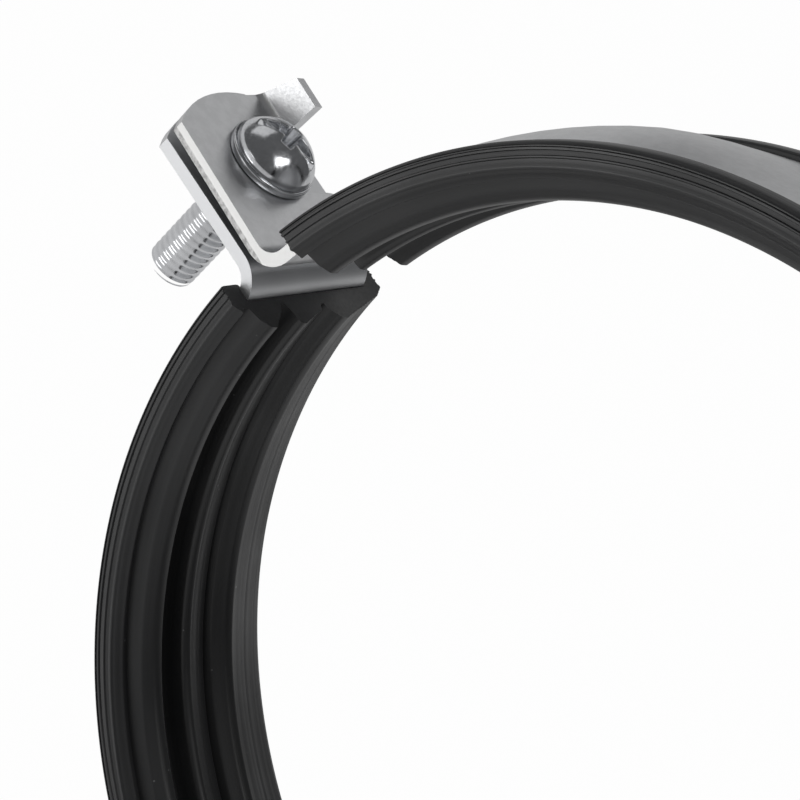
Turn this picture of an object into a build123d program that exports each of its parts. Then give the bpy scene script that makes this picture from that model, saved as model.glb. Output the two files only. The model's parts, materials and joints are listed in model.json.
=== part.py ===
from build123d import *
import os
from math import asin, cos, radians, sin, sqrt

os.makedirs("parts", exist_ok=True)

# Frame: the pipe's axis is Y, the ears part on the XY plane, the cap is up (+Z).
# The quick lock is at -X.

# Pipe seat and clamp strip
seat_radius = 55.0
strip_thickness = 1.5
strip_width = 20.0
bend_radius = 2.4

# Ears
cap_ear_height = 0.4
base_ear_depth = 0.3
base_ear_droop = 2.0
ear_corner_length = 5.9
ear_crown_rise = 3.9

# Screws, M6 round head, set off from the strip's outer face
screw_offset = 12.7
shank_radius = 3.0
shank_length = 21.5
point_length = 3.6
point_radius = 1.7
head_radius = 5.3
flange_height = 1.0
flange_edge = 0.3
dome_radius = 5.0
head_height = 4.7
crown_radius = 5.6
recess_span = 6.8
recess_arm = 1.9
recess_depth = 2.8
recess_taper = 12
recess_turn = 30
driver_slot_width = 1.3
driver_slot_depth = 1.6
thread_clearance = 0.05
pivot_clearance = 0.3

# Quick lock slot, centred a little nearer the ring than its screw, and stop tab
slot_shift = 0.5
slot_radius = 4.1
slot_mouth_radius = 4.0
tab_bend_start = 4.6
tab_bend_radius = 1.0
tab_lean = 8
tab_height = 5.0
tab_step = 0.45
tab_taper = 2.3

# Rubber lining
lining_depth = 3.7
lining_width = 25.8
lip_thickness = 0.8
lip_overlap = 0.5
lip_bevel = 0.3
flank_lean = 0.15
shoulder_depth = 3.3
land_depth = 2.0
shoulder_width = 1.0
rib_land = 0.7
cap_lining_end = 7.0
base_lining_end = 3.1
# Each rib: place of its crest along the pipe, run of its near slope and depth of the foot where that starts
ribs = ((-8.3, 1.3, 1.3), (-3.5, 0.6, 2.1), (3.8, 1.7, 1.5))
last_rib_run = 6.9
last_rib_depth = 2.2
shoulder_bevel = 0.5

# Connection nut, M8
nut_across_flats = 13.0
nut_length = 12.0
nut_bore_radius = 3.4
nut_chamfer = 0.8

strip_inner_radius = seat_radius + lining_depth
strip_outer_radius = strip_inner_radius + strip_thickness
screw_reach = strip_outer_radius + screw_offset
ear_corner_reach = screw_reach + ear_corner_length
ear_crown_reach = ear_corner_reach + ear_crown_rise
cap_ear_top = cap_ear_height + strip_thickness
ring_clear = 2 * strip_outer_radius
ear_clear = 10.0
touching = 0.01


def ear_points(level, droop):
    """Points of one ear's section, outwards along the inner face and back along the outer one.

    They are (distance from the axis, height above the parting). Both faces bend about the same centre.
    """
    height = level + strip_thickness + bend_radius
    centre = Vector(sqrt((strip_outer_radius + bend_radius) ** 2 - height**2), height)
    to_axis = -centre.normalized()
    to_parting = Vector(sin(radians(droop)), -cos(radians(droop)))
    between = (to_axis + to_parting).normalized()
    along = Vector(cos(radians(droop)), sin(radians(droop)))
    reach = along * (ear_crown_reach - centre.X)
    wide = bend_radius + strip_thickness
    inner = [centre + way * wide for way in (to_axis, between, to_parting)]
    outer = [centre + way * bend_radius for way in (to_parting, between, to_axis)]
    return inner + [inner[2] + reach, outer[0] + reach] + outer


def strip_section(rise, level, droop):
    """Section of one half of the strip: a half ring and two bent ears, on the rise side of the parting."""
    right = [(p.X, rise * p.Y) for p in ear_points(level, droop)]
    left = [(-x, y) for x, y in right]
    with BuildSketch() as section:
        with BuildLine():
            ThreePointArc(left[0], (0, rise * strip_inner_radius), right[0])
            ThreePointArc(left[7], (0, rise * strip_outer_radius), right[7])
            for side in (left, right):
                ThreePointArc(*side[0:3])
                Polyline(*side[2:6])
                ThreePointArc(*side[5:8])
        make_face()
    return section.sketch


def ear_plan():
    """Outline of the strip seen along Z: straight sides with crowned ends."""
    corner, half = ear_corner_reach, strip_width / 2
    with BuildSketch() as plan:
        with BuildLine():
            Line((-corner, -half), (corner, -half))
            ThreePointArc((corner, -half), (ear_crown_reach, 0), (corner, half))
            Line((corner, half), (-corner, half))
            ThreePointArc((-corner, half), (-ear_crown_reach, 0), (-corner, -half))
        make_face()
    return plan.sketch


def tab_profile():
    """Section of the stop tab across its bend: it leaves the ear flat and turns up, leaning outwards."""
    turn = radians(90 - tab_lean)
    start = tab_bend_start
    middle = cap_ear_top + tab_bend_radius
    outer_radius = tab_bend_radius + strip_thickness
    inner_foot = Vector(start + tab_bend_radius * sin(turn), middle - tab_bend_radius * cos(turn))
    outer_foot = Vector(start + outer_radius * sin(turn), middle - outer_radius * cos(turn))
    rise = Vector(cos(turn), sin(turn)) * ((cap_ear_top + tab_height - inner_foot.Y) / sin(turn))
    with BuildSketch() as profile:
        with BuildLine():
            Line((tab_heel, cap_ear_top), (start, cap_ear_top))
            RadiusArc((start, cap_ear_top), inner_foot, -tab_bend_radius)
            Polyline(inner_foot, inner_foot + rise, outer_foot + rise, outer_foot)
            RadiusArc(outer_foot, (start, cap_ear_height), outer_radius)
            Polyline((start, cap_ear_height), (tab_heel, cap_ear_height), (tab_heel, cap_ear_top))
        make_face()
    return profile.sketch


# Base half of the strip
with BuildPart() as base_shell:
    with BuildSketch(Plane.XZ):
        add(strip_section(-1, base_ear_depth, base_ear_droop))
    extrude(amount=strip_width / 2, both=True)
    with BuildSketch():
        add(ear_plan())
    extrude(amount=ring_clear, both=True, mode=Mode.INTERSECT)
    with BuildSketch():
        with Locations((-screw_reach, 0), (screw_reach, 0)):
            Circle(shank_radius + thread_clearance)
    extrude(amount=-ear_clear, mode=Mode.SUBTRACT)
base_shell.part.label = "base_shell"
export_step(base_shell.part, "parts/base_shell.step")

# Cap half of the strip, with the open slot and the stop tab on its lock ear
slot_reach = screw_reach - slot_shift
slot_outer_wall = -slot_reach - slot_radius
slot_inner_wall = -slot_reach + slot_radius
tab_heel = tab_bend_start - strip_thickness
tab_top = tab_height + tab_step
with BuildPart() as cap_shell:
    with BuildSketch(Plane.XZ):
        add(strip_section(1, cap_ear_height, 0))
    extrude(amount=strip_width / 2, both=True)
    with BuildSketch():
        add(ear_plan())
    extrude(amount=ring_clear, both=True, mode=Mode.INTERSECT)
    with BuildSketch():
        with Locations((screw_reach, 0)):
            Circle(shank_radius + pivot_clearance)
        with Locations((-slot_reach, 0)):
            Circle(slot_radius)
            Rectangle(2 * slot_radius, strip_width, align=(Align.CENTER, Align.MIN))
        with Locations((slot_outer_wall, tab_bend_start)):
            Rectangle(ear_clear, strip_width, align=(Align.MAX, Align.MIN))
    extrude(amount=ear_clear, mode=Mode.SUBTRACT)
    inner_wall = cap_shell.edges().filter_by(Axis.Z).filter_by(
        lambda e: abs(e.center().X - slot_inner_wall) < touching
    )
    mouth = inner_wall.filter_by(lambda e: e.center().Y > strip_width / 2 - touching)
    fillet(mouth, slot_mouth_radius)
    with BuildSketch(Plane.YZ.offset(slot_outer_wall)):
        add(tab_profile())
    extrude(amount=-(ear_crown_reach + slot_outer_wall))
    with BuildSketch(Plane.XZ.offset(-tab_heel)):
        with Locations((-ear_crown_reach, cap_ear_top)):
            Polygon(
                (-tab_step, -strip_thickness),
                (tab_step, -strip_thickness),
                (tab_step, 0),
                (tab_taper, tab_top),
                (-tab_step, tab_top),
                align=None,
            )
    extrude(amount=-strip_width, mode=Mode.SUBTRACT)
cap_shell.part.label = "cap_shell"
export_step(cap_shell.part, "parts/cap_shell.step")


def lining_profile():
    """Section of the lining as (radius, place along the pipe).

    It is a channel for the strip, with a lip at each side and three ribs.
    """
    side, groove = lining_width / 2, strip_width / 2
    lip_radius = strip_outer_radius + lip_thickness
    shoulder, land = seat_radius + shoulder_depth, seat_radius + land_depth
    corner = side - flank_lean
    inside = [(shoulder, -corner), (land, -corner + shoulder_width)]
    for crest, run, depth in ribs:
        inside.append((seat_radius + depth, crest - rib_land / 2 - run))
        inside.append((seat_radius, crest - rib_land / 2))
        inside.append((seat_radius, crest + rib_land / 2))
    inside.append((seat_radius + last_rib_depth, inside[-1][1] + last_rib_run))
    inside.append((shoulder, corner))
    lip_edge = groove - lip_overlap
    outside = [(lip_radius, side), (lip_radius, lip_edge)]
    outside += [(strip_outer_radius, lip_edge), (strip_outer_radius, groove)]
    outside += [(strip_inner_radius, groove), (strip_inner_radius, -groove)]
    outside += [(r, -y) for r, y in reversed(outside[:4])]
    with BuildSketch() as profile:
        with BuildLine():
            Polyline(*inside, *outside, close=True)
        make_face()
        lips = profile.vertices().filter_by(
            lambda v: v.X > lip_radius - touching and abs(v.Y) > side - touching
        )
        chamfer(lips, lip_bevel)
        shoulders = profile.vertices().filter_by(lambda v: abs(v.X - shoulder) < touching)
        chamfer(shoulders, shoulder_bevel)
    return profile.sketch


# Base lining: the lower half of the ribbed ring, cut back from the bends
with BuildPart() as base_lining:
    with BuildSketch():
        add(lining_profile())
    revolve(axis=Axis.Y)
    split(bisect_by=Plane.XY.offset(-base_lining_end), keep=Keep.BOTTOM)
    add(base_shell.part, mode=Mode.SUBTRACT)
base_lining.part.label = "base_lining"
export_step(base_lining.part, "parts/base_lining.step")

# Cap lining
with BuildPart() as cap_lining:
    with BuildSketch():
        add(lining_profile())
    revolve(axis=Axis.Y)
    split(bisect_by=Plane.XY.offset(cap_lining_end), keep=Keep.TOP)
cap_lining.part.label = "cap_lining"
export_step(cap_lining.part, "parts/cap_lining.step")


def screw_profile():
    """Half section of a flanged round head screw, from the underside of its head, beside its axis."""
    centre = head_height - crown_radius
    turn = asin(dome_radius / crown_radius)
    dome_foot = (dome_radius, centre + crown_radius * cos(turn))
    crown = (crown_radius * sin(turn / 2), centre + crown_radius * cos(turn / 2))
    top, tip, neck = (0, head_height), -shank_length, point_length - shank_length
    rim = (head_radius, flange_height)
    with BuildSketch() as profile:
        with BuildLine():
            Polyline(top, (0, tip), (point_radius, tip), (shank_radius, neck))
            Polyline((shank_radius, neck), (shank_radius, 0), (head_radius, 0), rim, dome_foot)
            ThreePointArc(dome_foot, crown, top)
        make_face()
        fillet(profile.vertices().sort_by_distance(rim)[0], flange_edge)
    return profile.sketch


def screw(name, reach):
    """A screw through an ear of the cap, seated on the ear, with a cross recess and a driver slot."""
    with BuildPart() as piece:
        with BuildSketch(Plane(origin=(reach, 0, cap_ear_top), x_dir=(1, 0, 0), z_dir=(0, -1, 0))):
            add(screw_profile())
        revolve(axis=Axis((reach, 0, 0), (0, 0, 1)))
        with BuildSketch(Plane.XY.offset(cap_ear_top + head_height)):
            with Locations((reach, 0)):
                Rectangle(recess_span, recess_arm, rotation=recess_turn)
                Rectangle(recess_arm, recess_span, rotation=recess_turn)
        extrude(amount=-recess_depth, taper=recess_taper, mode=Mode.SUBTRACT)
        with BuildSketch(Plane.XY.offset(cap_ear_top + head_height)):
            with Locations((reach, 0)):
                Rectangle(2 * head_radius, driver_slot_width, rotation=recess_turn)
        extrude(amount=-driver_slot_depth, mode=Mode.SUBTRACT)
    piece.part.label = name
    export_step(piece.part, f"parts/{name}.step")


screw("lock_screw", -screw_reach)
screw("pivot_screw", screw_reach)

# Connection nut, welded under the base: a hexagon shaped to the strip, tapped from below
nut_foot = -strip_outer_radius - nut_length
with BuildPart() as connection_nut:
    with BuildSketch(Plane.XY.offset(nut_foot)):
        RegularPolygon(nut_across_flats / 2, 6, major_radius=False)
    extrude(amount=nut_length + strip_thickness)
    chamfer(connection_nut.edges().group_by(Axis.Z)[0], nut_chamfer / 2)
    with BuildSketch(Plane.XY.offset(nut_foot)):
        Circle(nut_bore_radius)
    extrude(amount=nut_length + strip_thickness, mode=Mode.SUBTRACT)
    with BuildSketch(Plane.XZ):
        Circle(strip_outer_radius)
    extrude(amount=nut_across_flats, both=True, mode=Mode.SUBTRACT)
connection_nut.part.label = "connection_nut"
export_step(connection_nut.part, "parts/connection_nut.step")
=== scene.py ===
import json
from math import asin, atan2, cos, degrees, pi, radians, sin, tau

import bpy
from bpy.props import FloatProperty, FloatVectorProperty, IntProperty, PointerProperty
from bpy.types import Operator, Panel, PropertyGroup
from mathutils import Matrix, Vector

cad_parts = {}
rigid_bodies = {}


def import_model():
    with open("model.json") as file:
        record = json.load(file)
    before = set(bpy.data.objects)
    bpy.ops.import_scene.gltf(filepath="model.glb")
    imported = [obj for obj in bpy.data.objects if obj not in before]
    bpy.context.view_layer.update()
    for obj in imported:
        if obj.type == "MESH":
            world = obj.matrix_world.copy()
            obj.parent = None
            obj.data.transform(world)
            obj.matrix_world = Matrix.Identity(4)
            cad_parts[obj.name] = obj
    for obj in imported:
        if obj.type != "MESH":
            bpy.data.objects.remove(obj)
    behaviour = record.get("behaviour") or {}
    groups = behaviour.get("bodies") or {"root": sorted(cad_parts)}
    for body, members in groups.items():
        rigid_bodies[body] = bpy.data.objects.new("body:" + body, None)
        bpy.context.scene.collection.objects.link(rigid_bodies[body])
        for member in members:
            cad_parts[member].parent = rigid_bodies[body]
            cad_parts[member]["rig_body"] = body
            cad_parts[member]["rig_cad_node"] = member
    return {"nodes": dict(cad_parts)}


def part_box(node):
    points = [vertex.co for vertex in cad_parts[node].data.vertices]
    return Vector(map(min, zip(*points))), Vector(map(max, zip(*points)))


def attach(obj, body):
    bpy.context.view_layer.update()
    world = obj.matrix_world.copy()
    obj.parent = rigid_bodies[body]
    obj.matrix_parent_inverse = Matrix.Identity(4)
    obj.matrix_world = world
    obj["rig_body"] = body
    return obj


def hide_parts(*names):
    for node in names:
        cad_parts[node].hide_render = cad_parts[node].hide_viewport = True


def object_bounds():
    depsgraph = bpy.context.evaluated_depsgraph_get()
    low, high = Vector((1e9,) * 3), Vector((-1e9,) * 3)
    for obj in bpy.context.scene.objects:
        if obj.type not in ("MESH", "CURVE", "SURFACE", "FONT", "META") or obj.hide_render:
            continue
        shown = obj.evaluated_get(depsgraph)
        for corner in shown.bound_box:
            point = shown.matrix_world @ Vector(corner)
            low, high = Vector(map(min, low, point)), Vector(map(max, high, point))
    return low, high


bl_info = {
    "name": "Rubber lined pipe clamp",
    "version": (1, 0, 0),
    "blender": (4, 5, 0),
    "location": "View3D > Sidebar > Pipe Clamp",
    "description": "Dresses the clamp's screws, strip, lining and nut, and sets its studio",
    "category": "Object",
}

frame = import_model()
cad_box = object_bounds()

MM = 0.001
SCREWS = ("lock_screw", "pivot_screw")

# Profiles, in millimetres. The rim's corners are (distance in from its edge, height above its foot)
# and (distance in from its edge, depth below its top), and its groove is (distance out from the
# dome's foot, depth below its top).
RIM_FOOT = ((0.45, 0.0), (0.10, 0.10), (0.0, 0.30))
RIM_TOP = ((0.0, 0.28), (0.05, 0.12), (0.14, 0.02))
RIM_GROOVE = ((0.06, 0), (0, 0.12))
GROOVE_DEPTH = 0.16
# The dome: where its foot and its straight side end, as a share and a height over the rim, the
# share of its radius at which the ball starts, and the steps along it
DOME_FOOT = 0.3
DOME_SIDE = 0.35
BALL_START = 0.97
BALL_STEPS = 24
# The screw's point, as (radius, height above the tip)
SCREW_POINT = (
    (0, 0), (0.95, 0), (1.05, 0.05), (1.45, 0.42),
    (1.95, 0.60), (2.35, 0.95), (2.68, 1.55), (2.88, 2.3),
)
POINT_LENGTH = 3.3
# How far the blank stands outside the thread and reaches into the head, and the steps and the
# roundness of one thread
BLANK_GAP = 0.02
BLANK_TOP = 0.4
THREAD_STEPS = 8
THREAD_ROUNDNESS = 0.8
# The lining's flank, as (radius, distance from the middle of the strip)
LIP = (
    (60.3, 9.75), (60.7, 9.78), (60.9, 9.9), (60.97, 10.2),
    (60.97, 12.1), (60.9, 12.5), (60.74, 12.76),
)
BEADS = (
    (60.6, 12.84), (60.52, 12.66), (60.4, 12.66), (60.3, 12.84), (60.1, 12.84), (60.0, 12.62),
)
SIDE = (
    (59.55, 12.56), (59.47, 12.78), (59.34, 12.78), (59.22, 12.6), (58.8, 12.62), (58.52, 12.78),
)
SHOULDER = ((58.34, 12.78), (58.22, 12.66))
CHANNEL = (
    (60.23, 9.75), (60.23, 10.02), (58.68, 10.02), (58.68, -10.02), (60.23, -10.02), (60.23, -9.75),
)
# The lining's inner side, as stretches between two points (height over the seat, place along the
# pipe) with a number of fine ridges
RIBS = (
    ((3.05, -12.45), (2.2, -11.75), 3),
    ((2.9, -11.5), (2.8, -10.5), 1),
    ((1.3, -9.95), (0, -8.65), 2),
    ((0, -7.95), (2.1, -5.6), 5),
    ((2.9, -5.3), (2.8, -4.6), 1),
    ((2.1, -4.3), (0, -3.75), 2),
    ((0, -3.15), (1.5, 0.9), 7),
    ((2.3, 1.1), (2.2, 1.7), 1),
    ((1.4, 1.95), (0, 3.45), 3),
    ((0, 4.15), (2.2, 11.05), 11),
    ((2.25, 11.3), (3.1, 12.5), 3),
)
# Where a ridge stands in its step of a stretch, where the hollow after it lies, and how high an
# ordinary and a tall one are
RIDGE_PLACE = 0.35
HOLLOW_PLACE = 0.8
RIDGE_LOW = 0.4
RIDGE_MORE = 0.6
# Rows of edges across the cap strip, in millimetres from its middle
STRIP_ROWS = range(-9, 10)
# The lock tabs stand above this height and beyond this place, and their sides keep the plating.
# The sheared sides of the ears are torn within this height of the joint between the halves;
# beyond it they are a plain near-white: bare steel with a painted highlight of a rounded burr
# edge. Each pair is the span that the finish fades over.
TAB_HEIGHT = (2.4 * MM, 2.7 * MM)
TAB_PLACE = (-76.0 * MM, -76.6 * MM)
TORN_HEIGHT = (0.95 * MM, 1.1 * MM)
# Angles at which a crease stays sharp
SCREW_CREASE = radians(40)
LINING_CREASE = radians(50)
STRIP_CREASE = radians(22)
# Soft boxes: name, direction from the lock ear, distance, width, height and radiance
LAMPS = (
    ("low_box", (-0.27, -0.82, -0.44), 0.9, 0.62, 0.62, 1.9),
    ("front_strip", (-0.30, -0.93, 0.20), 0.9, 0.30, 0.12, 1.6),
    ("left_box", (-0.80, 0.05, 0.60), 0.9, 0.5, 0.5, 0.5),
    ("top_box", (0.48, -0.14, 0.87), 0.6, 0.32, 0.2, 3.6),
    ("back_box", (-0.25, 0.80, 0.50), 1.0, 0.7, 0.5, 0.55),
)
LOCK_EAR = (-0.072, 0, 0)
# Camera sensor in millimetres and nearest distance seen in metres
SENSOR_WIDTH = 36
NEAR_CLIP = 0.01


# ---------------------------------------------------------------- settings


class ScrewSettings(PropertyGroup):
    """Sizes of the two round head screws."""

    thread_radius: FloatProperty(
        name="Thread radius", description="Radius over the thread", default=3.0 * MM, unit="LENGTH"
    )
    thread_depth: FloatProperty(
        name="Thread depth",
        description="Depth of the rolled thread",
        default=0.13 * MM,
        unit="LENGTH",
    )
    pitch: FloatProperty(
        name="Pitch", description="Rise of the thread in one turn", default=1.0 * MM, unit="LENGTH"
    )
    rim_radius: FloatProperty(
        name="Rim radius",
        description="Radius of the rim under the head",
        default=5.3 * MM,
        unit="LENGTH",
    )
    rim_height: FloatProperty(
        name="Rim height", description="Height of the rim", default=1.0 * MM, unit="LENGTH"
    )
    dome_radius: FloatProperty(
        name="Dome radius",
        description="Radius of the dome where it leaves the rim",
        default=5.0 * MM,
        unit="LENGTH",
    )
    head_height: FloatProperty(
        name="Head height", description="Height of the head", default=4.7 * MM, unit="LENGTH"
    )
    crown_radius: FloatProperty(
        name="Crown radius",
        description="Radius of the ball the dome is cut from",
        default=5.6 * MM,
        unit="LENGTH",
    )
    shank_length: FloatProperty(
        name="Shank length", description="Length below the head", default=21.5 * MM, unit="LENGTH"
    )
    recess_span: FloatProperty(
        name="Recess span",
        description="Width over the cross recess",
        default=5.8 * MM,
        unit="LENGTH",
    )
    recess_arm: FloatProperty(
        name="Recess arm",
        description="Width of one arm of the cross",
        default=2.1 * MM,
        unit="LENGTH",
    )
    recess_depth: FloatProperty(
        name="Recess depth",
        description="Depth of the cross recess",
        default=3.1 * MM,
        unit="LENGTH",
    )
    slot_width: FloatProperty(
        name="Slot width", description="Width of the driver slot", default=1.9 * MM, unit="LENGTH"
    )
    slot_depth: FloatProperty(
        name="Slot depth", description="Depth of the driver slot", default=1.6 * MM, unit="LENGTH"
    )
    recess_turn: FloatProperty(
        name="Recess turn",
        description="Turn of the recess about the screw",
        default=radians(30),
        subtype="ANGLE",
    )
    grain: FloatProperty(
        name="Grain",
        description="Size of the facets the struck dome is remeshed to",
        default=0.085 * MM,
        unit="LENGTH",
    )
    recess_taper: FloatProperty(
        name="Recess taper",
        description="Width of the cross recess at its foot as a share of its width above",
        default=0.45,
    )
    slot_taper: FloatProperty(
        name="Slot taper",
        description="Width of the driver slot at its foot as a share of its width above",
        default=0.8,
    )
    tool_bevel: FloatProperty(
        name="Tool bevel",
        description="Bevel of the tools that strike the recess",
        default=0.18 * MM,
        unit="LENGTH",
    )
    rounding: IntProperty(
        name="Rounding",
        description="Passes that round the edges of the struck dome",
        default=14,
        min=0,
    )
    turn_steps: IntProperty(
        name="Steps in a turn", description="Facets round the screw", default=64, min=16
    )


class LiningSettings(PropertyGroup):
    """Sizes of the ribbed rubber linings."""

    seat_radius: FloatProperty(
        name="Seat radius",
        description="Radius over the crests of the ribs",
        default=55.0 * MM,
        unit="LENGTH",
    )
    ridge: FloatProperty(
        name="Ridge",
        description="Height of the fine ridges left by the die",
        default=0.05 * MM,
        unit="LENGTH",
    )
    half_turn_steps: IntProperty(
        name="Steps in a half turn", description="Facets along one lining", default=180, min=30
    )


class StripSettings(PropertyGroup):
    """The cap strip's swelling beside the lock ear."""

    swell: FloatProperty(
        name="Swell",
        description="Rise of the strip's middle over its flat section",
        default=1.8 * MM,
        unit="LENGTH",
    )
    swell_start: FloatProperty(
        name="Swell start",
        description="Angle above the pivot side at which the rise starts",
        default=118.0,
    )
    swell_full: FloatProperty(
        name="Swell full", description="Angle at which the rise is full", default=138.0
    )
    swell_fall: FloatProperty(
        name="Swell fall", description="Angle at which the rise starts to fall", default=158.0
    )
    swell_end: FloatProperty(
        name="Swell end", description="Angle at which the rise ends", default=170.0
    )
    swell_width: FloatProperty(
        name="Swell width",
        description="Distance from the middle at which the rise ends",
        default=10.0 * MM,
        unit="LENGTH",
    )


class FinishSettings(PropertyGroup):
    """Colours of the finishes."""

    strip_colour: FloatVectorProperty(
        name="Strip",
        description="Zinc plated strip",
        default=(0.74, 0.745, 0.755),
        size=3,
        subtype="COLOR",
    )
    # Bare steel of the sheared edges, made near-white as a painted highlight of their burr edge
    edge_and_highlight_colour: FloatVectorProperty(
        name="Sheared edge",
        description="Bare cut edge of the strip",
        default=(0.86, 0.86, 0.85),
        size=3,
        subtype="COLOR",
    )
    screw_colour: FloatVectorProperty(
        name="Screw",
        description="Bright zinc plating",
        default=(0.78, 0.79, 0.81),
        size=3,
        subtype="COLOR",
    )
    rubber_colour: FloatVectorProperty(
        name="Rubber",
        description="Black lining",
        default=(0.016, 0.0163, 0.0172),
        size=3,
        subtype="COLOR",
    )
    dust_colour: FloatVectorProperty(
        name="Dust",
        description="Pale specks on the rubber",
        default=(0.30, 0.30, 0.30),
        size=3,
        subtype="COLOR",
    )


class StageSettings(PropertyGroup):
    """Camera, floor, paper and surroundings; the lamps are listed in LAMPS."""

    camera_place: FloatVectorProperty(
        name="Camera",
        description="Place of the camera",
        default=(0.026668, -0.202455, 0.139902),
        size=3,
        subtype="TRANSLATION",
        unit="LENGTH",
    )
    camera_turn: FloatVectorProperty(
        name="Camera turn",
        description="Turn of the camera about X, Y and Z",
        default=(radians(45.9993), radians(-37.9311), radians(49.5161)),
        size=3,
        subtype="EULER",
    )
    camera_lens: FloatProperty(
        name="Lens", description="Focal length in millimetres on a 36 mm sensor", default=107.8
    )
    floor_drop: FloatProperty(
        name="Floor drop",
        description="Height of the clamp above the floor",
        default=0.35,
        unit="LENGTH",
    )
    curb_height: FloatProperty(
        name="Curb height",
        description="Height of the paper curb round the floor",
        default=0.85,
        unit="LENGTH",
    )
    floor_size: FloatProperty(
        name="Floor size", description="Width of the paper floor", default=14.0, unit="LENGTH"
    )
    curb_radius: FloatProperty(
        name="Curb radius", description="Radius of the paper curb", default=4.0, unit="LENGTH"
    )
    curb_facets: IntProperty(
        name="Curb facets", description="Facets round the paper curb", default=96, min=12
    )
    paper_white: FloatProperty(
        name="Paper white",
        description="Share of the paper that is plain white where it is seen",
        default=0.985,
    )
    paper_mirrored: FloatProperty(
        name="Paper mirrored", description="Share of that white in reflections", default=0.5
    )
    surround_colour: FloatVectorProperty(
        name="Surround",
        description="Colour of the room",
        default=(0.97, 0.98, 1.0),
        size=3,
        subtype="COLOR",
    )
    surround_strength: FloatProperty(
        name="Surround strength", description="Brightness of the room", default=0.10
    )
    paper_colour: FloatVectorProperty(
        name="Paper",
        description="Floor and surroundings",
        default=(0.9, 0.9, 0.9),
        size=3,
        subtype="COLOR",
    )


def screw_settings():
    return bpy.context.scene.clamp_screws


def lining_settings():
    return bpy.context.scene.clamp_linings


def strip_settings():
    return bpy.context.scene.clamp_strip


def finish_settings():
    return bpy.context.scene.clamp_finishes


def stage_settings():
    return bpy.context.scene.clamp_stage


# ---------------------------------------------------------------- material nodes


class Finish:
    """A material's node tree, built from left to right."""

    def __init__(self, name, metallic=0.0):
        self.material = bpy.data.materials.new(name)
        self.material.use_nodes = True
        self.tree = self.material.node_tree
        self.shader = self.tree.nodes["Principled BSDF"]
        self.shader.inputs["Metallic"].default_value = metallic
        self.place = self.node("ShaderNodeTexCoord")

    def node(self, kind, **settings):
        made = self.tree.nodes.new(kind)
        for key, value in settings.items():
            setattr(made, key, value)
        return made

    def feed(self, socket, value):
        """Sets a socket, or links it where the value is another node's output."""
        if isinstance(value, bpy.types.NodeSocket):
            self.tree.links.new(value, socket)
        else:
            socket.default_value = value

    def math(self, operation, first, second=0.0, third=0.0, clamp=False):
        made = self.node("ShaderNodeMath", operation=operation, use_clamp=clamp)
        for socket, value in zip(made.inputs, (first, second, third)):
            self.feed(socket, value)
        return made.outputs[0]

    def split(self, vector):
        made = self.node("ShaderNodeSeparateXYZ")
        self.feed(made.inputs[0], vector)
        return made.outputs

    def join(self, x, y, z):
        made = self.node("ShaderNodeCombineXYZ")
        for socket, value in zip(made.inputs, (x, y, z)):
            self.feed(socket, value)
        return made.outputs[0]

    def noise(self, vector, scale, detail=3.0, roughness=0.5):
        made = self.node("ShaderNodeTexNoise")
        self.feed(made.inputs["Vector"], vector)
        made.inputs["Scale"].default_value = scale
        made.inputs["Detail"].default_value = detail
        made.inputs["Roughness"].default_value = roughness
        return made.outputs["Fac"]

    def cells(self, vector, scale):
        made = self.node("ShaderNodeTexVoronoi")
        self.feed(made.inputs["Vector"], vector)
        made.inputs["Scale"].default_value = scale
        return made.outputs["Distance"]

    def span(self, value, low, high, to_low=0.0, to_high=1.0):
        made = self.node("ShaderNodeMapRange", interpolation_type="SMOOTHSTEP")
        for socket, item in zip(made.inputs, (value, low, high, to_low, to_high)):
            self.feed(socket, item)
        return made.outputs[0]

    def mix(self, share, first, second):
        made = self.node("ShaderNodeMix", data_type="RGBA")
        self.feed(made.inputs[0], share)
        self.feed(made.inputs[6], first)
        self.feed(made.inputs[7], second)
        return made.outputs[2]

    def bump(self, height, strength, distance, normal=None):
        made = self.node("ShaderNodeBump")
        made.inputs["Strength"].default_value = strength
        made.inputs["Distance"].default_value = distance
        self.feed(made.inputs["Height"], height)
        if normal:
            self.feed(made.inputs["Normal"], normal)
        return made.outputs[0]

    def set(self, **values):
        for key, value in values.items():
            self.feed(self.shader.inputs[key.replace("_", " ")], value)
        return self.material


def solid(colour, share=1.0):
    """A colour with its alpha, scaled by a share."""
    return (*[share * part for part in colour], 1.0)


def rubber_finish():
    """Extruded black rubber: fine lines along the ring, a satin skin and stray pale specks."""
    f = Finish("lining_rubber")
    place = f.place.outputs["Object"]
    x, y, z = f.split(place)
    radius = f.math("SQRT", f.math("ADD", f.math("MULTIPLY", x, x), f.math("MULTIPLY", z, z)))
    angle = f.math("ARCTAN2", z, x)
    along = f.join(radius, y, f.math("MULTIPLY", angle, 0.6 * MM))
    lines = f.noise(along, 2600.0, 4.0, 0.6)
    bands = f.noise(along, 420.0, 2.0, 0.5)
    cloud = f.noise(place, 60.0, 3.0)
    grain = f.noise(place, 5200.0, 2.0)
    specks = f.span(f.cells(place, 620.0), 0.10, 0.05)
    sparse = f.span(f.noise(place, 330.0, 1.0), 0.60, 0.70)
    dust = f.math("MULTIPLY", specks, sparse)
    rubber = finish_settings().rubber_colour
    shade = f.mix(f.span(bands, 0.3, 0.7), solid(rubber, 0.8), solid(rubber, 1.35))
    colour = f.mix(f.math("MULTIPLY", dust, 0.8), shade, solid(finish_settings().dust_colour))
    rough = f.math("ADD", f.span(cloud, 0.3, 0.7, 0.34, 0.46), f.span(lines, 0.3, 0.7, 0.0, 0.08))
    relief = f.bump(lines, 0.25, 0.05 * MM)
    relief = f.bump(grain, 0.15, 0.02 * MM, relief)
    return f.set(Base_Color=colour, Roughness=rough, Normal=relief, Specular_IOR_Level=0.8)


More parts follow.
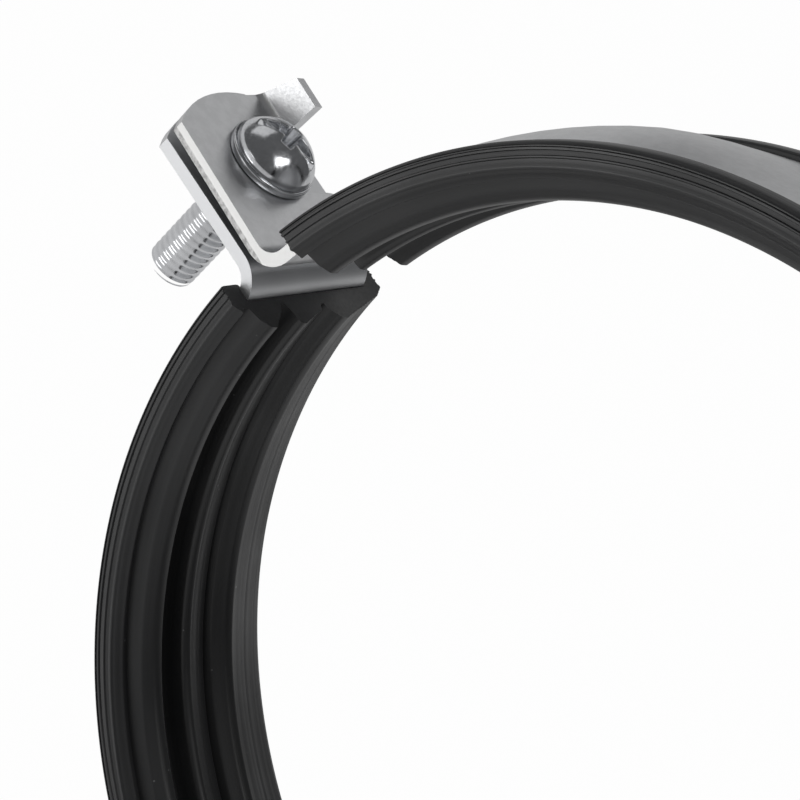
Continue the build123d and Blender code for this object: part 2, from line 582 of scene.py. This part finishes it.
def strip_finish():
    """Zinc plated strip: satin faces with a fine grain, and torn sheared edges of bare steel,
    partly painted near-white as a highlight.
    """
    f = Finish("strip_steel", metallic=1.0)
    place = f.place.outputs["Object"]
    normal_y = f.split(f.place.outputs["Normal"])[1]
    height = f.split(place)[2]
    side = f.span(f.math("ABSOLUTE", normal_y), 0.5, 0.9)
    on_tab = f.span(height, *TAB_HEIGHT)
    beyond = f.span(f.split(place)[0], *TAB_PLACE)
    tab = f.math("MULTIPLY", on_tab, beyond)
    edge = f.math("MULTIPLY", side, f.math("SUBTRACT", 1.0, tab))
    grain = f.noise(place, 4200.0, 3.0)
    spangle = f.noise(place, 700.0, 3.0, 0.6)
    tear = f.noise(place, 1500.0, 4.0, 0.7)
    torn = f.span(f.math("ABSOLUTE", height), *TORN_HEIGHT, 1.0, 0.0)
    zinc, bare_and_highlight = finish_settings().strip_colour, finish_settings().edge_and_highlight_colour
    face = f.mix(f.span(spangle, 0.35, 0.65), solid(zinc, 0.93), solid(zinc))
    mottled = f.mix(f.span(tear, 0.35, 0.60), solid(bare_and_highlight, 0.42), solid(bare_and_highlight, 0.75))
    # Away from the joint the cut side is plain near-white: bare steel and a painted highlight of
    # its burr edge
    cut = f.mix(torn, solid(bare_and_highlight), mottled)
    rough = f.math("ADD", f.math("MULTIPLY", edge, 0.12), f.span(grain, 0.3, 0.7, 0.32, 0.40))
    relief = f.bump(grain, 0.12, 0.02 * MM)
    rift = f.math("MULTIPLY", tear, f.math("MULTIPLY", edge, torn))
    relief = f.bump(rift, 0.5, 0.08 * MM, relief)
    return f.set(Base_Color=f.mix(edge, face, cut), Roughness=rough, Normal=relief)


def screw_finish():
    """Bright zinc plating over a headed and rolled screw: glossy, with faint pits."""
    f = Finish("screw_steel", metallic=1.0)
    place = f.place.outputs["Object"]
    pits = f.noise(place, 2300.0, 4.0, 0.65)
    haze = f.noise(place, 300.0, 3.0)
    zinc = finish_settings().screw_colour
    tint = f.mix(f.span(haze, 0.35, 0.7), solid(zinc), solid(zinc, 0.86))
    rough = f.span(pits, 0.35, 0.7, 0.12, 0.26)
    return f.set(Base_Color=tint, Roughness=rough, Normal=f.bump(pits, 0.10, 0.03 * MM))


def nut_finish():
    """Zinc plated nut, duller than the screws."""
    f = Finish("nut_steel", metallic=1.0)
    place = f.place.outputs["Object"]
    haze = f.noise(place, 500.0, 4.0)
    tint = f.mix(haze, solid([0.62, 0.63, 0.64]), solid([0.78, 0.79, 0.80]))
    rough = f.span(haze, 0.3, 0.7, 0.28, 0.42)
    return f.set(Base_Color=tint, Roughness=rough, Normal=f.bump(haze, 0.1, 0.04 * MM))


def paper_finish():
    """White paper: plain white where it is seen, greyer in reflections, and it takes a shadow."""
    f = Finish("studio_paper")
    f.set(Base_Color=solid(stage_settings().paper_colour), Roughness=0.9)
    rays = f.node("ShaderNodeLightPath")
    mirrored = f.math("MAXIMUM", rays.outputs["Is Glossy Ray"], rays.outputs["Is Transmission Ray"])
    mirrored = f.math("MULTIPLY", mirrored, stage_settings().paper_mirrored)
    seen = f.math("MAXIMUM", rays.outputs["Is Camera Ray"], mirrored)
    glow = f.node("ShaderNodeEmission")
    glow.inputs["Color"].default_value = (1, 1, 1, 1)
    blend = f.node("ShaderNodeMixShader")
    f.feed(blend.inputs[0], f.math("MULTIPLY", seen, stage_settings().paper_white))
    f.tree.links.new(f.shader.outputs[0], blend.inputs[1])
    f.tree.links.new(glow.outputs[0], blend.inputs[2])
    f.tree.links.new(blend.outputs[0], f.tree.nodes["Material Output"].inputs["Surface"])
    return f.material


# ---------------------------------------------------------------- modelling by hand tools


def clear_selection():
    if bpy.context.object and bpy.context.object.mode != "OBJECT":
        bpy.ops.object.mode_set(mode="OBJECT")
    bpy.ops.object.select_all(action="DESELECT")


def draw_profile(name, points):
    """Draws an open profile in the XZ plane by extruding one vertex from point to point."""
    clear_selection()
    bpy.ops.mesh.primitive_plane_add(size=MM)
    piece = bpy.context.object
    piece.name = name
    bpy.ops.object.mode_set(mode="EDIT")
    bpy.ops.mesh.select_mode(type="VERT")
    bpy.ops.mesh.select_all(action="SELECT")
    bpy.ops.mesh.merge(type="CENTER")
    bpy.ops.transform.translate(value=points[0])
    for start, end in zip(points, points[1:]):
        step = Vector(end) - Vector(start)
        bpy.ops.mesh.extrude_vertices_move(TRANSFORM_OT_translate={"value": step})
    bpy.ops.object.mode_set(mode="OBJECT")
    return piece


def make_active(piece):
    clear_selection()
    piece.select_set(True)
    bpy.context.view_layer.objects.active = piece


def apply_modifier(piece, kind, **settings):
    make_active(piece)
    modifier = piece.modifiers.new(kind.title(), kind)
    for key, value in settings.items():
        setattr(modifier, key, value)
    bpy.ops.object.modifier_apply(modifier=modifier.name)
    return piece


def tidy_mesh(piece, gap=0.002 * MM):
    """Merges doubled vertices and turns every face outwards."""
    make_active(piece)
    bpy.ops.object.mode_set(mode="EDIT")
    bpy.ops.mesh.select_all(action="SELECT")
    bpy.ops.mesh.remove_doubles(threshold=gap)
    bpy.ops.mesh.normals_make_consistent(inside=False)
    bpy.ops.object.mode_set(mode="OBJECT")
    return piece


def smooth_by_angle(piece, angle):
    make_active(piece)
    bpy.ops.object.shade_smooth_by_angle(angle=angle)
    return piece


def move_mesh(piece, shift):
    """Moves the piece and puts its place into its mesh."""
    make_active(piece)
    bpy.ops.transform.translate(value=shift)
    bpy.ops.object.transform_apply(location=True, rotation=True, scale=True)
    return piece


# ---------------------------------------------------------------- screws


def rim_points(size):
    """Profile of the rim, with a rounded edge and a fine groove at the dome's foot."""
    edge, top, foot = size.rim_radius, size.rim_height, size.dome_radius
    points = [(0, 0, 0)]
    points += [(edge - inset * MM, 0, height * MM) for inset, height in RIM_FOOT]
    points += [(edge - inset * MM, 0, top - drop * MM) for inset, drop in RIM_TOP]
    points += [(foot + out * MM, 0, top - drop * MM) for out, drop in RIM_GROOVE]
    return points + [(0, 0, top - GROOVE_DEPTH * MM)]


def dome_points(size):
    """Profile of the domed head, from inside the rim to its crown."""
    centre = size.head_height - size.crown_radius
    start = asin(BALL_START * size.dome_radius / size.crown_radius)
    foot, side = DOME_FOOT * size.rim_height, size.rim_height + DOME_SIDE * MM
    points = [(0, 0, foot), (size.dome_radius, 0, foot), (size.dome_radius, 0, side)]
    for index in range(BALL_STEPS + 1):
        part = start * (1 - index / BALL_STEPS)
        points.append((size.crown_radius * sin(part), 0, centre + size.crown_radius * cos(part)))
    return points


def blank_points(size):
    """Profile of the blank that trims the thread: a stepped point, its small flat and a shank."""
    tip, top = -size.shank_length, BLANK_TOP * size.rim_height
    full = size.thread_radius + BLANK_GAP * MM
    points = [(radius * MM, 0, tip + height * MM) for radius, height in SCREW_POINT]
    return points + [(full, 0, tip + POINT_LENGTH * MM), (full, 0, top), (0, 0, top)]


def spin_profile(name, points, steps):
    """Spins a profile a whole turn about Z into a closed solid."""
    piece = draw_profile(name, points)
    apply_modifier(piece, "SCREW", axis="Z", angle=tau, steps=steps, render_steps=steps)
    return tidy_mesh(piece)


def make_thread(size):
    """Rolled thread wound from one pitch, cut square at both ends and trimmed by the blank."""
    pitch, outer, inner = size.pitch, size.thread_radius, size.thread_radius - size.thread_depth
    turns = int(size.shank_length / pitch) + 3
    start = -size.shank_length - 1.5 * pitch
    profile = []
    for index in range(THREAD_STEPS + 1):
        share = index / THREAD_STEPS
        radius = inner + (outer - inner) * (0.5 - 0.5 * cos(share * tau)) ** THREAD_ROUNDNESS
        profile.append((radius, 0, start + share * pitch))
    thread = draw_profile("thread", profile)
    steps = size.turn_steps * turns
    apply_modifier(
        thread,
        "SCREW",
        axis="Z",
        angle=tau * turns,
        screw_offset=pitch * turns,
        steps=steps,
        render_steps=steps,
    )
    tidy_mesh(thread)
    cut_square(thread, -size.shank_length - 0.2 * MM, (0, 0, -1))
    cut_square(thread, 0.3 * size.rim_height, (0, 0, 1))
    blank = spin_profile("blank", blank_points(size), size.turn_steps)
    apply_modifier(thread, "BOOLEAN", object=blank, operation="INTERSECT", solver="EXACT")
    bpy.data.objects.remove(blank)
    return thread


def cut_square(piece, height, away):
    """Cuts the piece across at a height, drops what lies beyond and closes the cut."""
    make_active(piece)
    bpy.ops.object.mode_set(mode="EDIT")
    bpy.ops.mesh.select_all(action="SELECT")
    bpy.ops.mesh.bisect(plane_co=(0, 0, height), plane_no=away, use_fill=True, clear_outer=True)
    bpy.ops.mesh.select_all(action="SELECT")
    bpy.ops.mesh.normals_make_consistent(inside=False)
    bpy.ops.object.mode_set(mode="OBJECT")


def make_screw(name):
    """A screw: its struck dome, its rim and a rolled thread on its shank, seated in its ear."""
    size = screw_settings()
    dome = spin_profile(name + "_detail", dome_points(size), size.turn_steps)
    cut_recess(dome, size)
    apply_modifier(dome, "REMESH", mode="VOXEL", voxel_size=size.grain)
    apply_modifier(dome, "SMOOTH", factor=0.5, iterations=size.rounding)
    rim = spin_profile("rim", rim_points(size), size.turn_steps * 2)
    thread = make_thread(size)
    clear_selection()
    for part in (dome, rim, thread):
        part.select_set(True)
    bpy.context.view_layer.objects.active = dome
    bpy.ops.object.join()
    move_mesh(dome, screw_place(name))
    smooth_by_angle(dome, SCREW_CREASE)
    return dome


def screw_place(name):
    """Where a screw's axis meets the face its head sits on."""
    low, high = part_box(name)
    return Vector(((low.x + high.x) / 2, 0, low.z + screw_settings().shank_length))


def copy_screw(screw, source, name):
    """A second screw with a mesh of its own, moved from one screw's place to the other's."""
    make_active(screw)
    bpy.ops.object.duplicate(linked=False)
    piece = bpy.context.object
    piece.name = name + "_detail"
    return move_mesh(piece, screw_place(name) - screw_place(source))


def cut_recess(head, size):
    """Cuts the cross recess and the slot across it out of the crown."""
    for turn in (0, pi / 2):
        arm_size = (size.recess_span, size.recess_arm, size.recess_depth)
        arm = make_cutter(size, arm_size, size.recess_turn + turn, size.recess_taper)
        apply_modifier(head, "BOOLEAN", object=arm, operation="DIFFERENCE", solver="EXACT")
        bpy.data.objects.remove(arm)
    slot_size = (2 * size.rim_radius, size.slot_width, size.slot_depth)
    slot = make_cutter(size, slot_size, size.recess_turn, size.slot_taper)
    apply_modifier(head, "BOOLEAN", object=slot, operation="DIFFERENCE", solver="EXACT")
    bpy.data.objects.remove(slot)


def make_cutter(size, block_size, turn, taper):
    """A block sunk into the crown, narrowed towards its foot and turned about the screw."""
    length, width, depth = block_size
    top = size.head_height
    clear_selection()
    bpy.ops.mesh.primitive_cube_add(size=1)
    block = bpy.context.object
    bpy.ops.transform.resize(value=(length, width, 2 * depth))
    bpy.ops.transform.translate(value=(0, 0, top))
    bpy.ops.object.transform_apply(location=True, rotation=True, scale=True)
    bpy.ops.object.mode_set(mode="EDIT")
    bpy.ops.mesh.select_all(action="DESELECT")
    bpy.ops.object.mode_set(mode="OBJECT")
    for polygon in block.data.polygons:
        polygon.select = polygon.normal.z < -0.5
    bpy.ops.object.mode_set(mode="EDIT")
    bpy.ops.mesh.select_mode(type="FACE")
    bpy.ops.transform.resize(value=(taper, taper, 1))
    bpy.ops.mesh.select_all(action="SELECT")
    bpy.ops.transform.rotate(value=-turn, orient_axis="Z", center_override=(0, 0, top))
    bpy.ops.object.mode_set(mode="OBJECT")
    apply_modifier(block, "BEVEL", width=size.tool_bevel, segments=2)
    return block


# ---------------------------------------------------------------- linings


def ridged(start, end, count):
    """Points from start to end with fine ridges standing off the line between them."""
    a, b = Vector(start), Vector(end)
    along = (b - a).normalized()
    off = Vector((-along.y, along.x)) * lining_settings().ridge / MM
    points = [a]
    for index in range(count):
        rise = off * (RIDGE_LOW + RIDGE_MORE * (index % 3 == 0))
        fall = off * (RIDGE_LOW + RIDGE_MORE * (index % 2))
        points.append(a.lerp(b, (index + RIDGE_PLACE) / count) + rise)
        points.append(a.lerp(b, (index + HOLLOW_PLACE) / count) - fall)
    return [tuple(point) for point in points]


def lining_points():
    """Closed section of the lining as (radius, place along the pipe), in millimetres."""
    seat = lining_settings().seat_radius / MM
    far = [*LIP, *BEADS, *SIDE, *SHOULDER]
    near = [(radius, -place) for radius, place in far]
    inside = []
    for start, end, count in RIBS:
        inside += ridged((seat + start[0], start[1]), (seat + end[0], end[1]), count)
    return near + inside + far[::-1] + [*CHANNEL] + near[:1]


def make_lining(name, source, upwards):
    """Spins half a ring of the lining's section about the pipe's axis and trims its ends level."""
    points = [(r * MM, y * MM, 0) for r, y in lining_points()]
    piece = draw_profile(name, points)
    steps = lining_settings().half_turn_steps
    turn = -pi if upwards else pi
    apply_modifier(piece, "SCREW", axis="Y", angle=turn, steps=steps, render_steps=steps)
    tidy_mesh(piece)
    low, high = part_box(source)
    if upwards:
        cut_square(piece, low.z, (0, 0, -1))
    else:
        cut_square(piece, high.z, (0, 0, 1))
    return smooth_by_angle(piece, LINING_CREASE)


# ---------------------------------------------------------------- cap strip


def copy_node(name, new_name):
    """A copy of a CAD node with its loose triangles merged, free of its parent."""
    make_active(frame["nodes"][name])
    bpy.ops.object.duplicate(linked=False)
    piece = bpy.context.object
    bpy.ops.object.parent_clear(type="CLEAR_KEEP_TRANSFORM")
    piece.name = new_name
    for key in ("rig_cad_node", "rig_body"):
        del piece[key]
    piece.hide_render = False
    tidy_mesh(piece)
    bpy.ops.object.mode_set(mode="EDIT")
    bpy.ops.mesh.select_all(action="SELECT")
    bpy.ops.mesh.dissolve_limited(angle_limit=radians(0.4))
    bpy.ops.object.mode_set(mode="OBJECT")
    return piece


def rows_across(piece, places):
    """Cuts rows of edges along the ring at places across the strip."""
    make_active(piece)
    bpy.ops.object.mode_set(mode="EDIT")
    for place in places:
        bpy.ops.mesh.select_all(action="SELECT")
        bpy.ops.mesh.bisect(plane_co=(0, place, 0), plane_no=(0, 1, 0))
    bpy.ops.mesh.select_all(action="SELECT")
    bpy.ops.mesh.dissolve_degenerate(threshold=0.001 * MM)
    bpy.ops.object.mode_set(mode="OBJECT")


def eased(value, start, end):
    """Runs smoothly from 0 at start to 1 at end."""
    share = min(max((value - start) / (end - start), 0), 1)
    return share * share * (3 - 2 * share)


def swell_share(size, angle):
    """How far the strip is swollen at an angle above the pivot side, from 0 to 1."""
    rise = eased(angle, size.swell_start, size.swell_full)
    fall = eased(angle, size.swell_end, size.swell_fall)
    return rise * fall


def swell_strip(piece):
    """Lifts the middle of the cap strip beside the lock ear into a low crown."""
    size = strip_settings()
    for vertex in piece.data.vertices:
        x, y, z = vertex.co
        across = 1 - min(abs(y) / size.swell_width, 1) ** 2
        share = swell_share(size, degrees(atan2(z, x))) * across
        if share > 0:
            reach = (x * x + z * z) ** 0.5
            way = 1 + size.swell * share / reach
            vertex.co = (x * way, y, z * way)


# ---------------------------------------------------------------- operators


class CLAMP_OT_screws(Operator):
    """Models one screw with its thread and recess and copies it for the pivot."""

    bl_idname = "clamp.screws"
    bl_label = "Screws"

    def execute(self, context):
        material = screw_finish()
        first = make_screw(SCREWS[0])
        pieces = {SCREWS[0]: first, SCREWS[1]: copy_screw(first, *SCREWS)}
        for name, piece in pieces.items():
            piece.data.materials.clear()
            piece.data.materials.append(material)
            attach(piece, name)
            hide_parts(name)
        return {"FINISHED"}


class CLAMP_OT_linings(Operator):
    """Models both rubber linings with the beads and fine ridges of their section."""

    bl_idname = "clamp.linings"
    bl_label = "Linings"

    def execute(self, context):
        material = rubber_finish()
        halves = (("base_lining", "base", False), ("cap_lining", "cap", True))
        for source, body, upwards in halves:
            piece = make_lining(source + "_detail", source, upwards)
            piece.data.materials.clear()
            piece.data.materials.append(material)
            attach(piece, body)
            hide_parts(source)
        return {"FINISHED"}


class CLAMP_OT_cap_strip(Operator):
    """Swells the cap strip beside its lock ear."""

    bl_idname = "clamp.cap_strip"
    bl_label = "Cap strip"

    def execute(self, context):
        piece = copy_node("cap_shell", "cap_shell_detail")
        rows_across(piece, [place * MM for place in STRIP_ROWS])
        swell_strip(piece)
        smooth_by_angle(piece, STRIP_CREASE)
        piece.data.materials.clear()
        piece.data.materials.append(strip_finish())
        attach(piece, "cap")
        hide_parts("cap_shell")
        return {"FINISHED"}


class CLAMP_OT_finishes(Operator):
    """Gives the base strip and the nut their finishes."""

    bl_idname = "clamp.finishes"
    bl_label = "Finishes"

    def execute(self, context):
        wanted = {"base_shell": bpy.data.materials["strip_steel"], "connection_nut": nut_finish()}
        for name, material in wanted.items():
            node = frame["nodes"][name]
            node.data.materials.clear()
            node.data.materials.append(material)
        return {"FINISHED"}


class CLAMP_OT_stage(Operator):
    """Sets the floor, the lamps, the surroundings and the camera."""

    bl_idname = "clamp.stage"
    bl_label = "Studio"

    def execute(self, context):
        make_floor()
        make_lamps()
        make_world()
        make_camera()
        context.scene.view_settings.view_transform = "Standard"
        return {"FINISHED"}


def make_floor():
    """Lays the paper floor under the clamp, with a low curb of the same paper round it."""
    stage = stage_settings()
    paper = paper_finish()
    level = cad_box[0][2] - stage.floor_drop
    clear_selection()
    bpy.ops.mesh.primitive_plane_add(size=stage.floor_size, location=(0, 0, level))
    floor = bpy.context.object
    floor.name = "floor"
    floor.data.materials.append(paper)
    clear_selection()
    bpy.ops.mesh.primitive_cylinder_add(
        vertices=stage.curb_facets,
        radius=stage.curb_radius,
        depth=stage.curb_height,
        end_fill_type="NOTHING",
        location=(0, 0, level + stage.curb_height / 2),
    )
    curb = bpy.context.object
    curb.name = "curb"
    curb.data.materials.append(paper)


def make_lamp(name, direction, distance, width, height, radiance):
    """A soft box in a direction from the lock ear, facing it, as bright as the radiance says."""
    data = bpy.data.lights.new(name, "AREA")
    data.shape = "RECTANGLE"
    data.size = width
    data.size_y = height
    data.energy = radiance * pi * width * height
    lamp = bpy.data.objects.new(name, data)
    bpy.context.scene.collection.objects.link(lamp)
    way = Vector(direction).normalized()
    lamp.location = Vector(LOCK_EAR) + way * distance
    lamp.rotation_euler = way.to_track_quat("Z", "Y").to_euler()
    return lamp


def make_lamps():
    for lamp in LAMPS:
        make_lamp(*lamp)


def make_world():
    """White to the camera and a dim even grey to everything else."""
    stage = stage_settings()
    world = bpy.data.worlds.new("studio")
    bpy.context.scene.world = world
    world.use_nodes = True
    tree = world.node_tree
    ground = tree.nodes["Background"]
    ground.inputs["Color"].default_value = solid(stage.surround_colour)
    ground.inputs["Strength"].default_value = stage.surround_strength
    white = tree.nodes.new("ShaderNodeBackground")
    white.inputs["Color"].default_value = (1, 1, 1, 1)
    rays = tree.nodes.new("ShaderNodeLightPath")
    blend = tree.nodes.new("ShaderNodeMixShader")
    tree.links.new(rays.outputs["Is Camera Ray"], blend.inputs[0])
    tree.links.new(ground.outputs[0], blend.inputs[1])
    tree.links.new(white.outputs[0], blend.inputs[2])
    tree.links.new(blend.outputs[0], tree.nodes["World Output"].inputs["Surface"])


def make_camera():
    data = bpy.data.cameras.new("camera")
    data.sensor_width = SENSOR_WIDTH
    data.lens = stage_settings().camera_lens
    data.clip_start = NEAR_CLIP
    camera = bpy.data.objects.new("camera", data)
    bpy.context.scene.collection.objects.link(camera)
    camera.location = stage_settings().camera_place
    camera.rotation_euler = stage_settings().camera_turn
    bpy.context.scene.camera = camera


class CLAMP_PT_panel(Panel):
    """Lists the pieces and the studio in the sidebar."""

    bl_idname = "CLAMP_PT_panel"
    bl_label = "Rubber lined pipe clamp"
    bl_space_type = "VIEW_3D"
    bl_region_type = "UI"
    bl_category = "Pipe Clamp"

    def draw(self, context):
        for operator in OPERATORS:
            self.layout.operator(operator.bl_idname)


SETTINGS = (ScrewSettings, LiningSettings, StripSettings, FinishSettings, StageSettings)
OPERATORS = (
    CLAMP_OT_screws,
    CLAMP_OT_linings,
    CLAMP_OT_cap_strip,
    CLAMP_OT_finishes,
    CLAMP_OT_stage,
)


def register():
    for item in (*SETTINGS, *OPERATORS, CLAMP_PT_panel):
        bpy.utils.register_class(item)
    bpy.types.Scene.clamp_screws = PointerProperty(type=ScrewSettings)
    bpy.types.Scene.clamp_linings = PointerProperty(type=LiningSettings)
    bpy.types.Scene.clamp_strip = PointerProperty(type=StripSettings)
    bpy.types.Scene.clamp_finishes = PointerProperty(type=FinishSettings)
    bpy.types.Scene.clamp_stage = PointerProperty(type=StageSettings)


def unregister():
    del bpy.types.Scene.clamp_stage
    del bpy.types.Scene.clamp_finishes
    del bpy.types.Scene.clamp_strip
    del bpy.types.Scene.clamp_linings
    del bpy.types.Scene.clamp_screws
    for item in reversed((*SETTINGS, *OPERATORS, CLAMP_PT_panel)):
        bpy.utils.unregister_class(item)


def main():
    register()
    bpy.ops.clamp.screws()
    bpy.ops.clamp.linings()
    bpy.ops.clamp.cap_strip()
    bpy.ops.clamp.finishes()
    bpy.ops.clamp.stage()


if __name__ == "__main__":
    main()
